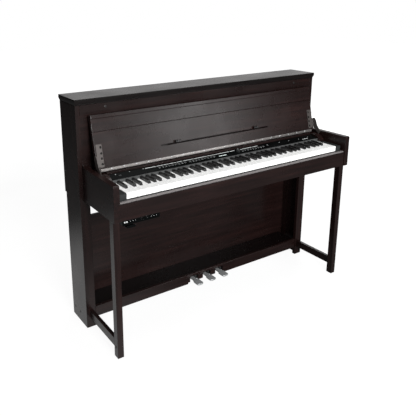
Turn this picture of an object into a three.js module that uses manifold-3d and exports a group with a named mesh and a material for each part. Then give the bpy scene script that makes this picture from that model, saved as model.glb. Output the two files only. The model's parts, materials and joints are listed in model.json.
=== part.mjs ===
// A digital piano built into an upright cabinet, with a folding lid over its keys.
// Millimetres, +Z up. The origin is on the floor under the middle of the cabinet.
// X runs along the keyboard (bass on -X), and the player sits on the -Y side.

import * as THREE from 'three';
import { mergeVertices } from 'three/addons/utils/BufferGeometryUtils.js';
import Module from 'manifold-3d';

const wasm = await Module();
wasm.setup();

// ---------------------------------------------------------------- driving dimensions

const depth = 463;                  // whole cabinet, front of the arms to the back edge of the top
const gap = 0.3;                    // clearance between pieces that touch
const fromFront = (distance) => distance - depth / 2;

const board = 20;                   // side boards, lid and slip
const topHalfWidth = 704;
const upperHalfWidth = 700;         // outer faces of the upper sides
const lowerHalfWidth = 696;         // outer faces of the lower sides
const cabinetFront = fromFront(293);
const cabinetBack = fromFront(460);
const top = 1083;
const topThickness = 26;
const bedHeight = 633;              // underside of the arms, the key bed and the upper cabinet

const armOuter = 682;
const armInner = 654.5;
const armTop = 788;
const armRise = 22;                 // the arm's top sweeps up by this much to meet the cabinet
const armRiseRun = 56;
const armNose = 8;                  // rounding of the arm's front top corner

const legInner = 649;
const legWidth = 29;
const legDepth = 33;
const legFront = fromFront(21);

const whiteCount = 52;
const whitePitch = 23.5;
const keyboardHalf = whiteCount * whitePitch / 2;
const keyGap = 1;
const keyTop = 740;
const keyThickness = 18;
const keyLipBottom = 714;
const keyFront = fromFront(25.5);
const keyRear = fromFront(240);
const blackFront = fromFront(75);
const blackRise = 12;
const blackWidth = 13;
const keysEnd = fromFront(149.3);   // where the keys disappear under the strip
const strip = { front: keysEnd + 0.7, depth: 6, bottom: 741.3, top: 754.5 };

const lidHalf = 646;
const lidAxis = { y: fromFront(213), z: 780.4 };
const lidLean = THREE.MathUtils.degToRad(13.4);
const lidLength = 240.5;
const foldAt = 169.2;               // distance of the fold from the lid's hinge
const lipHeight = 16;
const lipProud = 6;
const hingeHalf = 631;              // the continuous hinge stops short of the lid's ends
const hingeRadius = 2.8;
const leafHeight = 10.8;
const ledge = { base: 62.5, top: 68.5, half: 321, proud: 13 };
const clipX = 235;

const panelTilt = THREE.MathUtils.degToRad(17.5);
const panelLength = 42.6;
const panelThickness = 4;
const panelOrigin = { y: fromFront(177.5), z: 760 };
const capRows = { count: 9, pitch: 17, width: 11, height: 5, starts: [-364, -200, 112] };
const powerButtonX = -560;
const display = { x: -14, y: -6, halfX: 30, halfY: 6 };
const knob = { x: 86, y: 2, radius: 11, shaft: 3, height: 10 };

const pedalPitch = 82;
const railFront = fromFront(300);
const railThickness = 18;
const railTop = 98;
const railBottom = 43;

const bedThickness = 18;
const speakerX = 430;
const speakerY = fromFront(380);
const inletX = [470, 530];
const inletZ = [680, 712];

// ---------------------------------------------------------------- materials

const finish = (color, roughness, metalness = 0) =>
  new THREE.MeshStandardMaterial({ color, roughness, metalness });

const rosewood = () => finish(0x2e2625, 0.42);
const darkWood = () => finish(0x1c1615, 0.5);
const ivory = () => finish(0xf4f2ec, 0.3);
const ebony = () => finish(0x17171a, 0.45);
const blackPlastic = () => finish(0x141617, 0.2);
const greyPlastic = () => finish(0x55595a, 0.5);
const steel = () => finish(0xb9bbbd, 0.3, 0.9);
const circuit = () => finish(0x1d5a3a, 0.5);
const glass = () => finish(0xcfd6d4, 0.1);

// ---------------------------------------------------------------- building helpers

const model = new THREE.Group();

function add(name, geometry, material, parent = model) {
  const mesh = new THREE.Mesh(geometry, material);
  mesh.name = name;
  parent.add(mesh);
  return mesh;
}

// A block given by its lowest and highest corners.
function block([x0, x1], [y0, y1], [z0, z1]) {
  const geometry = new THREE.BoxGeometry(x1 - x0, y1 - y0, z1 - z0);
  geometry.translate((x0 + x1) / 2, (y0 + y1) / 2, (z0 + z1) / 2);
  return geometry;
}

// A (y, z) outline pushed along X.
function alongX(outline, x0, x1) {
  const geometry = new THREE.ExtrudeGeometry(outline, {
    depth: x1 - x0, bevelEnabled: false, curveSegments: 8,
  });
  const basis = new THREE.Matrix4().makeBasis(
    new THREE.Vector3(0, 1, 0), new THREE.Vector3(0, 0, 1), new THREE.Vector3(1, 0, 0));
  geometry.applyMatrix4(basis);
  geometry.translate(x0, 0, 0);
  return geometry;
}

// An (x, y) outline pushed up along Z.
function alongZ(outline, z0, z1) {
  const geometry = new THREE.ExtrudeGeometry(outline, {
    depth: z1 - z0, bevelEnabled: false, curveSegments: 8,
  });
  geometry.translate(0, 0, z0);
  return geometry;
}

function polygon(points) {
  return new THREE.Shape(points.map(([a, b]) => new THREE.Vector2(a, b)));
}

function toSolid(geometry) {
  const bare = geometry.clone();
  bare.deleteAttribute('normal');
  bare.deleteAttribute('uv');
  const merged = mergeVertices(bare, 1e-4);
  return new wasm.Manifold(new wasm.Mesh({
    numProp: 3,
    vertProperties: new Float32Array(merged.attributes.position.array),
    triVerts: new Uint32Array(merged.index.array),
  }));
}

function toGeometry(solid) {
  const mesh = solid.getMesh();
  const geometry = new THREE.BufferGeometry();
  geometry.setAttribute('position', new THREE.BufferAttribute(mesh.vertProperties, 3));
  geometry.setIndex(new THREE.BufferAttribute(mesh.triVerts, 1));
  geometry.computeVertexNormals();
  return geometry;
}

function join(...geometries) {
  return toGeometry(geometries.map(toSolid).reduce((whole, piece) => whole.add(piece)));
}

function cut(body, ...tools) {
  return toGeometry(tools.map(toSolid).reduce((rest, tool) => rest.subtract(tool), toSolid(body)));
}

// The X range of a piece on one side of the cabinet, given by its inner and outer distance.
const sideRange = (side, inner, outer) => (side < 0 ? [-outer, -inner] : [inner, outer]);
const sides = [['left', -1], ['right', 1]];

// ---------------------------------------------------------------- upper cabinet

// The top's edge keeps a square lip and then slopes in under it on three sides.
function topBoard() {
  const slope = 5;
  const front = cabinetFront - slope - 1.5;
  const back = fromFront(depth);
  const geometry = new THREE.BoxGeometry(topHalfWidth * 2, back - front, topThickness, 1, 1, 2);
  const position = geometry.attributes.position;
  for (let i = 0; i < position.count; i += 1) {
    if (position.getZ(i) < -1) {
      position.setX(i, position.getX(i) - Math.sign(position.getX(i)) * slope);
      if (position.getY(i) < 0) position.setY(i, position.getY(i) + slope);
    }
  }
  geometry.translate(0, (front + back) / 2, top - topThickness / 2);
  return geometry;
}

function buildUpperCabinet() {
  const underTop = top - topThickness - gap;
  const inside = upperHalfWidth - board - gap;
  const railBase = 1011;
  add('top_board', topBoard(), rosewood());
  for (const [word, side] of sides) {
    add(`${word}_upper_side`, block(
      sideRange(side, upperHalfWidth - board, upperHalfWidth),
      [cabinetFront, cabinetBack], [bedHeight + gap, underTop]), rosewood());
  }
  add('upper_front_rail', block([-inside, inside],
    [cabinetFront, cabinetFront + 18], [railBase, underTop]), rosewood());
  add('upper_front_panel', block([-inside, inside],
    [cabinetFront + 2, cabinetFront + 14], [bedHeight + 20, railBase - gap]), rosewood());
  const inlet = block(inletX, [cabinetBack - 20, cabinetBack + 1], inletZ);
  add('upper_back_panel', cut(block([-inside, inside],
    [cabinetBack - 8, cabinetBack - 2], [bedHeight + gap, underTop]), inlet), darkWood());
}

// ---------------------------------------------------------------- lower stand

const sideFront = fromFront(297.5);
const sideBack = fromFront(457);

function buildStand() {
  const sideTop = bedHeight;
  const stileInner = 650;
  for (const [word, side] of sides) {
    const wall = sideRange(side, lowerHalfWidth - board, lowerHalfWidth);
    const stile = sideRange(side, stileInner, lowerHalfWidth);
    add(`${word}_lower_side`, join(
      block(wall, [sideFront, sideBack], [0, sideTop]),
      block(stile, [sideFront, sideFront + board], [0, sideTop])), rosewood());
    add(`${word}_front_leg`, block(sideRange(side, legInner, legInner + legWidth),
      [legFront, legFront + legDepth], [0, bedHeight - gap]), rosewood());
    add(`${word}_stretcher`, block(sideRange(side, 660, legInner + legWidth - 0.5),
      [legFront + legDepth + gap, sideFront - gap], [47, 86]), rosewood());
  }
  const inside = lowerHalfWidth - board - gap;
  const panelFront = sideBack - 13;
  add('modesty_panel', block([-inside, inside],
    [panelFront, sideBack - 1], [60, 494]), rosewood());
  add('bottom_shelf', block([-stileInner + gap, stileInner - gap],
    [railFront + railThickness + gap, panelFront - gap], [74, 92]), darkWood());
  const slots = [-1, 0, 1].map((place) => block(
    [place * pedalPitch - 25, place * pedalPitch + 25],
    [railFront - 1, railFront + railThickness + 1], [railBottom - 1, 82]));
  const relief = block([-120, 120],
    [railFront - 1, railFront + railThickness + 1], [railBottom - 1, 51]);
  add('bottom_rail', cut(block([-stileInner + gap, stileInner - gap],
    [railFront, railFront + railThickness], [railBottom, railTop]), relief, ...slots), rosewood());
}

// ---------------------------------------------------------------- pedals

const pedalPivot = { y: fromFront(400), z: 60 };

function buildPedals() {
  const boxFront = railFront + railThickness + gap;
  const boxBack = fromFront(420);
  const centres = [-pedalPitch, 0, pedalPitch];
  const channels = centres.map((x) => block([x - 16, x + 16], [boxFront - 1, boxBack - 12], [40, 70]));
  add('pedal_box', cut(block([-125, 125], [boxFront, boxBack], [50, 73.7]), ...channels), greyPlastic());
  const names = ['soft_pedal', 'sostenuto_pedal', 'damper_pedal'];
  names.forEach((name, i) => add(name, pedal(centres[i]), steel()));
}

// Seen from above: a straight shank that flares into a rounded toe plate.
function pedal(x) {
  const shank = 11;
  const toe = 19;
  const tip = fromFront(240);
  const flareEnd = fromFront(285);
  const flareStart = fromFront(302);
  const outline = new THREE.Shape();
  outline.moveTo(x - shank, pedalPivot.y + 6);
  outline.lineTo(x - shank, flareStart);
  outline.bezierCurveTo(x - shank, flareEnd, x - toe, flareEnd + 4, x - toe, flareEnd - 8);
  outline.lineTo(x - toe, tip + 12);
  outline.quadraticCurveTo(x - toe, tip, x, tip);
  outline.quadraticCurveTo(x + toe, tip, x + toe, tip + 12);
  outline.lineTo(x + toe, flareEnd - 8);
  outline.bezierCurveTo(x + toe, flareEnd + 4, x + shank, flareEnd, x + shank, flareStart);
  outline.lineTo(x + shank, pedalPivot.y + 6);
  return alongZ(outline, 56, 65);
}

// ---------------------------------------------------------------- arms and key bed

// The arm's side view: level along the top, then a hollow sweep up to the cabinet.
function armOutline() {
  const front = fromFront(0);
  const back = cabinetFront - gap;
  const outline = new THREE.Shape();
  outline.moveTo(front, bedHeight);
  outline.lineTo(back, bedHeight);
  outline.lineTo(back, armTop + armRise);
  outline.quadraticCurveTo(back - 8, armTop, back - armRiseRun, armTop);
  outline.lineTo(front + armNose, armTop);
  outline.quadraticCurveTo(front, armTop, front, armTop - armNose);
  return outline;
}

function buildBed() {
  const inside = armInner - gap;
  for (const [word, side] of sides) {
    const [x0, x1] = sideRange(side, armInner, armOuter);
    add(`${word}_arm`, alongX(armOutline(), x0, x1), rosewood());
  }
  add('key_slip', block([-inside, inside], [fromFront(4), fromFront(24)], [bedHeight, 706]), rosewood());
  const speakerHoles = sides.map(([, side]) => {
    const hole = new THREE.CylinderGeometry(48, 48, 40, 32);
    hole.rotateX(Math.PI / 2);
    hole.translate(side * speakerX, speakerY, bedHeight + 10);
    return hole;
  });
  add('key_bed', cut(block([-inside, inside], [fromFront(24) + gap, cabinetBack - 9],
    [bedHeight + gap, bedHeight + bedThickness]), ...speakerHoles), darkWood());
}

// The cheek beside the keys: level at the back, with a round nose that drops to the end block.
function buildCheeks() {
  const inner = keyboardHalf + 1.3;
  const outer = lidHalf + 0.5;
  const base = 738.5;
  const crown = 772;
  const nose = fromFront(137);
  const outline = new THREE.Shape();
  outline.moveTo(nose, base);
  outline.lineTo(cabinetFront - gap, base);
  outline.lineTo(cabinetFront - gap, crown);
  outline.lineTo(nose + 42, crown);
  outline.bezierCurveTo(nose + 20, crown - 2, nose + 2, crown - 14, nose, base + 6);
  for (const [word, side] of sides) {
    const [x0, x1] = sideRange(side, inner, outer);
    add(`${word}_cheek`, alongX(outline, x0, x1), rosewood());
  }
}

// The moulding around the keys: a strip behind them and a block at each end. A thin riser
// joins each block to the strip's end, in the clearance beside the cheek.
function buildSurround() {
  const blockInner = keyboardHalf + 0.8;
  const blockBase = 712;
  const blockTop = 738;
  const stripEnd = blockInner + 0.19;
  const stripY = [strip.front, strip.front + strip.depth];
  const ends = sides.map(([, side]) => block(sideRange(side, blockInner, lidHalf),
    [keyFront, strip.front + strip.depth], [blockBase, blockTop]));
  const risers = sides.map(([, side]) => block(sideRange(side, blockInner, stripEnd),
    stripY, [blockTop - 1, strip.top]));
  const bar = block([-stripEnd, stripEnd], stripY, [strip.bottom, strip.top]);
  add('keyboard_surround', join(bar, ...risers, ...ends), greyPlastic());
}

// ---------------------------------------------------------------- keys

const keyBack = { white: keyRear, black: fromFront(232) };
const firstNote = 21;
const lastNote = 108;
const blackOffsets = { 1: -3, 3: 3, 6: -4, 8: 0, 10: 4 };
const noteNames = ['c', 'c_sharp', 'd', 'd_sharp', 'e', 'f', 'f_sharp', 'g', 'g_sharp', 'a', 'a_sharp', 'b'];
const singleNotes = { first: 60, last: 71 };

// Every key with its colour and the X of its centre, from the lowest A to the highest C.
function keyTable() {
  const keys = [];
  let whiteIndex = 0;
  for (let note = firstNote; note <= lastNote; note += 1) {
    const step = note % 12;
    const boundary = whiteIndex * whitePitch - keyboardHalf;
    if (step in blackOffsets) {
      keys.push({ note, black: true, x: boundary + blackOffsets[step] });
    } else {
      keys.push({ note, black: false, x: boundary + whitePitch / 2 });
      whiteIndex += 1;
    }
  }
  return keys;
}

const keys = keyTable();

function whiteKey(key) {
  const half = (whitePitch - keyGap) / 2;
  const bar = block([key.x - half, key.x + half], [keyFront, keyBack.white],
    [keyTop - keyThickness, keyTop]);
  const lip = block([key.x - half, key.x + half], [keyFront, keyFront + 6],
    [keyLipBottom, keyTop - keyThickness + 1]);
  const reach = blackWidth / 2 + 0.9;
  const notches = keys
    .filter((other) => other.black && Math.abs(other.x - key.x) < whitePitch)
    .map((other) => block([other.x - reach, other.x + reach],
      [blackFront - 1.5, keyBack.white + 1], [keyTop - keyThickness - 1, keyTop + 1]));
  return cut(join(bar, lip), ...notches);
}

// A black key narrows towards its top and slopes at its front.
function blackKey(key) {
  const outline = polygon([
    [blackFront, keyTop - keyThickness], [keyBack.black, keyTop - keyThickness],
    [keyBack.black, keyTop], [keysEnd, keyTop], [keysEnd, keyTop + blackRise],
    [blackFront + 5, keyTop + blackRise - 1], [blackFront, keyTop],
  ]);
  return alongX(outline, key.x - blackWidth / 2, key.x + blackWidth / 2);
}

function buildKeys() {
  const isSingle = (key) => key.note >= singleNotes.first && key.note <= singleNotes.last;
  for (const key of keys.filter(isSingle)) {
    const name = `key_${noteNames[key.note % 12]}4`;
    add(name, key.black ? blackKey(key) : whiteKey(key), key.black ? ebony() : ivory());
  }
  const rest = keys.filter((key) => !isSingle(key));
  const whites = rest.filter((key) => !key.black);
  const blacks = rest.filter((key) => key.black);
  const webEnd = keyboardHalf - 1;
  const whiteWeb = block([-webEnd, webEnd], [keyBack.white + 1, keyBack.white + 6],
    [keyTop - keyThickness, keyTop - 1]);
  const whiteTails = whites.map((key) => block([key.x - 3, key.x + 3],
    [keyBack.white - 2, keyBack.white + 2], [keyTop - keyThickness + 1, keyTop - 2]));
  add('white_keys', join(whiteWeb, ...whiteTails, ...whites.map(whiteKey)), ivory());
  const blackWeb = block([blacks[0].x - 5, blacks.at(-1).x + 5],
    [keyBack.black - 10, keyBack.black - 1], [keyTop + 2.5, keyTop + 6]);
  const risers = blacks.map((key) => block([key.x - 4, key.x + 4],
    [keyBack.black - 9, keyBack.black - 2], [keyTop - 1, keyTop + 5]));
  add('black_keys', join(blackWeb, ...risers, ...blacks.map(blackKey)), ebony());
}

// A pressed steel frame under the keys, with a rail that the keys hang from behind them.
function buildKeyFrame() {
  const half = keyboardHalf - 1;
  const back = keyBack.white + 8;
  add('key_frame', join(
    block([-half, half], [fromFront(40), back + 20], [660, 664]),
    block([-half, half], [back, back + 20], [660, 738]),
    block([-half, half], [fromFront(40), fromFront(44)], [660, 695]),
    block([-half, half], [fromFront(70), fromFront(90)], [bedHeight + bedThickness + gap, 661])), steel());
}

// ---------------------------------------------------------------- control panel

// Pieces on the panel are laid out flat, X along it and Y up its slope, and tilted as one group.
const panel = new THREE.Group();
panel.position.set(0, panelOrigin.y, panelOrigin.z);
panel.rotation.x = panelTilt;
model.add(panel);

function capCentres() {
  return capRows.starts.flatMap((start) =>
    Array.from({ length: capRows.count }, (_, i) => start + i * capRows.pitch));
}

function disc(x, y, radius, z0, z1, sides) {
  const geometry = new THREE.CylinderGeometry(radius, radius, z1 - z0, sides);
  geometry.rotateX(Math.PI / 2);
  geometry.translate(x, y, (z0 + z1) / 2);
  return geometry;
}

function buildPanel() {
  const half = keyboardHalf - 0.6;
  const face = panelThickness / 2;
  const hole = (x, y, halfX, halfY) => block([x - halfX, x + halfX], [y - halfY, y + halfY], [-9, 9]);
  const capClearance = 0.7;
  const capHoles = capCentres().map((x) => hole(x, 0,
    capRows.width / 2 + capClearance, capRows.height / 2 + capClearance));
  add('control_panel', cut(
    block([-half, half], [-panelLength / 2, panelLength / 2], [-face, face]),
    hole(display.x, display.y, display.halfX + gap, display.halfY + gap),
    hole(powerButtonX, 0, 6.7, 4.7),
    disc(knob.x, knob.y, knob.shaft + 0.4, -9, 9, 32),
    ...capHoles), blackPlastic(), panel);
  add('display_window', block([display.x - display.halfX, display.x + display.halfX],
    [display.y - display.halfY, display.y + display.halfY], [-face, face]), glass(), panel);
  add('power_button', block([powerButtonX - 6, powerButtonX + 6], [-4, 4], [-3.4, 3.6]),
    blackPlastic(), panel);
  add('volume_knob', join(
    disc(knob.x, knob.y, knob.radius, face + 0.6, face + knob.height, 40),
    disc(knob.x, knob.y, knob.shaft, -4, face + 1, 32)), greyPlastic(), panel);
  add('panel_buttons', keypad(face), greyPlastic(), panel);
}

// All the small buttons' caps, on one rubber pad that runs behind the panel.
function keypad(face) {
  const padDepth = [-5.2, -3.6];
  const rowEnd = capRows.pitch * (capRows.count - 1);
  const caps = capCentres().map((x) => block([x - capRows.width / 2, x + capRows.width / 2],
    [-capRows.height / 2, capRows.height / 2], [-3.7, face + 1.4]));
  const webs = capRows.starts.map((start) => block([start - 8, start + rowEnd + 8], [-6, 6], padDepth));
  const first = capRows.starts[0];
  const last = capRows.starts.at(-1);
  const bridge = block([first, last + 8], [-13.5, -10.5], padDepth);
  const bridgeEnds = capRows.starts.map((start) => block([start + 1, start + 7], [-12, -5], padDepth));
  return join(...webs, bridge, ...bridgeEnds, ...caps);
}

function buildLidRail() {
  const half = keyboardHalf - 0.6;
  add('lid_rail', block([-half, half], [fromFront(200), cabinetFront - gap], [757, 776]), rosewood());
}

// ---------------------------------------------------------------- lid

// The lid's pieces are laid out upright with the hinge on the origin, X along it, Z up the
// board and Y through it (the inner face at 0), and then leaned back as one group.
const lid = new THREE.Group();
lid.position.set(0, lidAxis.y, lidAxis.z);
lid.rotation.x = -lidLean;
model.add(lid);

function buildLid() {
  const start = 4;
  add('lid_board', block([-lidHalf, lidHalf], [0, board], [start, foldAt - gap]), rosewood(), lid);
  add('lid_flap', join(
    block([-lidHalf, lidHalf], [0, board], [foldAt + gap, lidLength]),
    block([-lidHalf, lidHalf], [-lipProud, 1], [lidLength - lipHeight, lidLength])), rosewood(), lid);
  const knuckle = new THREE.CylinderGeometry(hingeRadius, hingeRadius, hingeHalf * 2, 16);
  knuckle.rotateZ(Math.PI / 2);
  const leaf = block([-hingeHalf, hingeHalf], [-1.8, -gap], [0, leafHeight]);
  add('lid_hinge', join(knuckle, leaf), steel(), lid);
  for (const [word, side] of sides) {
    add(`${word}_lid_bracket`, lidBracket(side), steel(), lid);
  }
  add('music_ledge', alongZ(ledgeOutline(), ledge.base, ledge.top), rosewood(), lid);
  const clipHalf = 13;
  const clipFace = 1 - ledge.proud;
  for (const [word, side] of sides) {
    add(`${word}_page_clip`, block([side * clipX - clipHalf, side * clipX + clipHalf],
      [clipFace, clipFace + 1.5], [ledge.top + gap, ledge.top + 10]), steel(), lid);
  }
}

// A screwed plate on the lid's face with a wing that stands out beside the lid's end.
function lidBracket(side) {
  const thickness = 2;
  const front = -gap - thickness;
  const plate = (inner, outer, low, high) => block(sideRange(side, inner, outer), [front, -gap], [low, high]);
  const wing = new THREE.Shape();
  wing.moveTo(front, 69.5);
  wing.lineTo(front, 17.5);
  wing.lineTo(-30, -18.5);
  wing.lineTo(-44, -6.5);
  wing.lineTo(-26, 29.5);
  wing.quadraticCurveTo(-24, 63.5, -12, 69.5);
  return join(
    plate(612, 640, 63.5, 116.5),
    plate(612, 632, 17.5, 64.5),
    plate(630, 652, 19.5, 67.5),
    alongX(wing, ...sideRange(side, 649, 652)));
}

// Seen from above: a long ledge whose ends taper to the lid.
function ledgeOutline() {
  const { half, proud } = ledge;
  const shoulder = 285;
  const outline = new THREE.Shape();
  outline.moveTo(-half, -gap);
  outline.lineTo(-half, -3);
  outline.quadraticCurveTo(-shoulder - 8, -proud, -shoulder + 20, -proud);
  outline.lineTo(shoulder - 20, -proud);
  outline.quadraticCurveTo(shoulder + 8, -proud, half, -3);
  outline.lineTo(half, -gap);
  return outline;
}

// ---------------------------------------------------------------- sockets and electronics

function speaker(x) {
  const profile = [
    [0, 0], [46, 0], [46, 1], [62, 1], [62, 5], [50, 6], [26, 34], [26, 52], [0, 52],
  ].map(([radius, height]) => new THREE.Vector2(radius, height));
  const geometry = new THREE.LatheGeometry(profile, 32);
  geometry.rotateX(Math.PI / 2);
  geometry.translate(x, speakerY, bedHeight + bedThickness);
  return geometry;
}

function buildElectronics() {
  for (const [word, side] of sides) add(`${word}_speaker`, speaker(side * speakerX), ebony());
  const boardBase = 670;
  const postTop = boardBase + 0.5;
  const posts = [-140, 130].flatMap((x) => [320, 410].map((distance) => block(
    [x, x + 10], [fromFront(distance + 5), fromFront(distance + 15)],
    [bedHeight + bedThickness + gap, postTop])));
  add('main_circuit_board', join(
    block([-150, 150], [fromFront(320), fromFront(430)], [boardBase, boardBase + 1.6]),
    block([-60, 20], [fromFront(350), fromFront(400)], [boardBase + 1, boardBase + 20]),
    ...posts), circuit());
  const shell = { x: [inletX[0] + 1, inletX[1] - 1], z: [inletZ[0] + 1, inletZ[1] - 1] };
  add('power_inlet', cut(
    block(shell.x, [cabinetBack - 30, cabinetBack - 0.5], shell.z),
    block([485, 515], [cabinetBack - 18, cabinetBack], [686, 706])), blackPlastic());
}

// The socket box under the bass end of the key bed, with a headphone hook below it.
function buildJackBox() {
  const front = fromFront(24) + gap;
  const base = 603;
  const socketZ = 617;
  const sockets = [-545, -520].map((x) => {
    const hole = new THREE.CylinderGeometry(3.3, 3.3, 24, 16);
    hole.translate(x, front + 11, socketZ);
    return hole;
  });
  const hook = { x: [-600, -560], front: fromFront(50), back: fromFront(99), bottom: 575, sheet: 3 };
  add('jack_box', join(
    cut(block([-634, -458], [front, fromFront(110)], [base, bedHeight - gap]), ...sockets),
    block(hook.x, [hook.back - hook.sheet, hook.back], [hook.bottom + 1, base + 1]),
    block(hook.x, [hook.front, hook.back], [hook.bottom, hook.bottom + hook.sheet]),
    block(hook.x, [hook.front, hook.front + hook.sheet], [hook.bottom, hook.bottom + 11])), blackPlastic());
}

buildUpperCabinet();
buildStand();
buildPedals();
buildBed();
buildCheeks();
buildSurround();
buildKeys();
buildKeyFrame();
buildPanel();
buildLidRail();
buildLid();
buildElectronics();
buildJackBox();

export default model;
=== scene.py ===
"""The looks of a digital piano in an upright cabinet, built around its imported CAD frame.

Metres, +Z up. X runs along the keyboard (bass on -X), and the player sits on the -Y side.
"""

import json
import math

import bmesh
import bpy
from mathutils import Matrix, Vector

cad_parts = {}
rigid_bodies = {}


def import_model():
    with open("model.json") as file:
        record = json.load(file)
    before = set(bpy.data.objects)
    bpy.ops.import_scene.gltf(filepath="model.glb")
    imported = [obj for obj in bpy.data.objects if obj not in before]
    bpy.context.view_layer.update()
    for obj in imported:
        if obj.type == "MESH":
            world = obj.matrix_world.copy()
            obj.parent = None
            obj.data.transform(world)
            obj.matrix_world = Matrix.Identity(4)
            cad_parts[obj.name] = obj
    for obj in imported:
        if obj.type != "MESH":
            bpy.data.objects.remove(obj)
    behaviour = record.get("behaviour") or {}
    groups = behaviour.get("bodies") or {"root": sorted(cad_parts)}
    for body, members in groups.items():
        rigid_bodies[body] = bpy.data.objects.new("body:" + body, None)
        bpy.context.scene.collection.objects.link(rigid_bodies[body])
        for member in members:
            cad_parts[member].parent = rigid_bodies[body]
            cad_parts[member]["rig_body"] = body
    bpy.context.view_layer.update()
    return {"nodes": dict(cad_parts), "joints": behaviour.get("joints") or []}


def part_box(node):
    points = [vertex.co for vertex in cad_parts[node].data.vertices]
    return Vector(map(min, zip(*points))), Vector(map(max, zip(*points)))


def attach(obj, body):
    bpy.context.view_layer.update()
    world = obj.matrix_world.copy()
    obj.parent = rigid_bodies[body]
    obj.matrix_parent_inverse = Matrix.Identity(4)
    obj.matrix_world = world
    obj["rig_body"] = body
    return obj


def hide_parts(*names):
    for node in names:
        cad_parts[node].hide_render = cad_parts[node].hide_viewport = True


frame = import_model()
nodes = frame["nodes"]
joints = {joint["name"]: joint for joint in frame["joints"]}

# ---------------------------------------------------------------- named sizes

MM = 0.001
SIDES = (("left", -1), ("right", 1))

WHITE_COUNT = 52
KEY_GAP = 1 * MM
WHITE_PITCH = (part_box("white_keys")[1].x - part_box("white_keys")[0].x + KEY_GAP) / WHITE_COUNT
FIRST_NOTE, LAST_NOTE = 21, 108
FIRST_SINGLE, LAST_SINGLE = 60, 71
NOTE_NAMES = ("c", "c_sharp", "d", "d_sharp", "e", "f", "f_sharp", "g", "g_sharp", "a", "a_sharp", "b")
BLACK_OFFSETS = {1: -3 * MM, 3: 3 * MM, 6: -4 * MM, 8: 0, 10: 4 * MM}
BLACK_WIDTH = 13 * MM

LID_LEAN = math.radians(13.4)
LID_HINGE = Vector(joints["lid_swing"]["pos_m"])
LID_FRAME = Matrix.Translation(LID_HINGE) @ Matrix.Rotation(-LID_LEAN, 4, "X")

PANEL_TILT = math.radians(17.5)
PANEL_FACE = 2 * MM                      # half the panel's thickness
PANEL_CENTRE = sum(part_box("control_panel"), Vector()) / 2
PANEL_FRAME = Matrix.Translation(PANEL_CENTRE) @ Matrix.Rotation(PANEL_TILT, 4, "X")

# ---------------------------------------------------------------- camera

CAMERA_PLACE = (-1.529, -1.957, 1.485)
CAMERA_YAW, CAMERA_DIP, CAMERA_ROLL = -32.48, 15.66, -0.47    # degrees
FOCAL_LENGTH, SENSOR_WIDTH = 45.8, 36                         # millimetres on the sensor
# The photograph's verticals are nearly parallel, so the camera keeps a moderate shift.
SHIFT_X, SHIFT_Y = 0.096, -0.149


def turned(degrees, axis):
    return Matrix.Rotation(math.radians(degrees), 4, axis)


def build_camera():
    data = bpy.data.cameras.new("camera")
    data.sensor_width = SENSOR_WIDTH
    data.lens = FOCAL_LENGTH
    data.shift_x, data.shift_y = SHIFT_X, SHIFT_Y
    camera = bpy.data.objects.new("camera", data)
    bpy.context.scene.collection.objects.link(camera)
    camera.matrix_world = (Matrix.Translation(CAMERA_PLACE) @ turned(CAMERA_YAW, "Z")
                           @ turned(90 - CAMERA_DIP, "X") @ turned(CAMERA_ROLL, "Z"))
    bpy.context.scene.camera = camera


# ---------------------------------------------------------------- materials


def linear(colour):
    """A web colour such as "#2e2625" as linear red, green, blue and alpha."""
    channels = [int(colour[i:i + 2], 16) / 255 for i in (1, 3, 5)]
    return [c / 12.92 if c <= 0.04045 else ((c + 0.055) / 1.055) ** 2.4 for c in channels] + [1]


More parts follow.
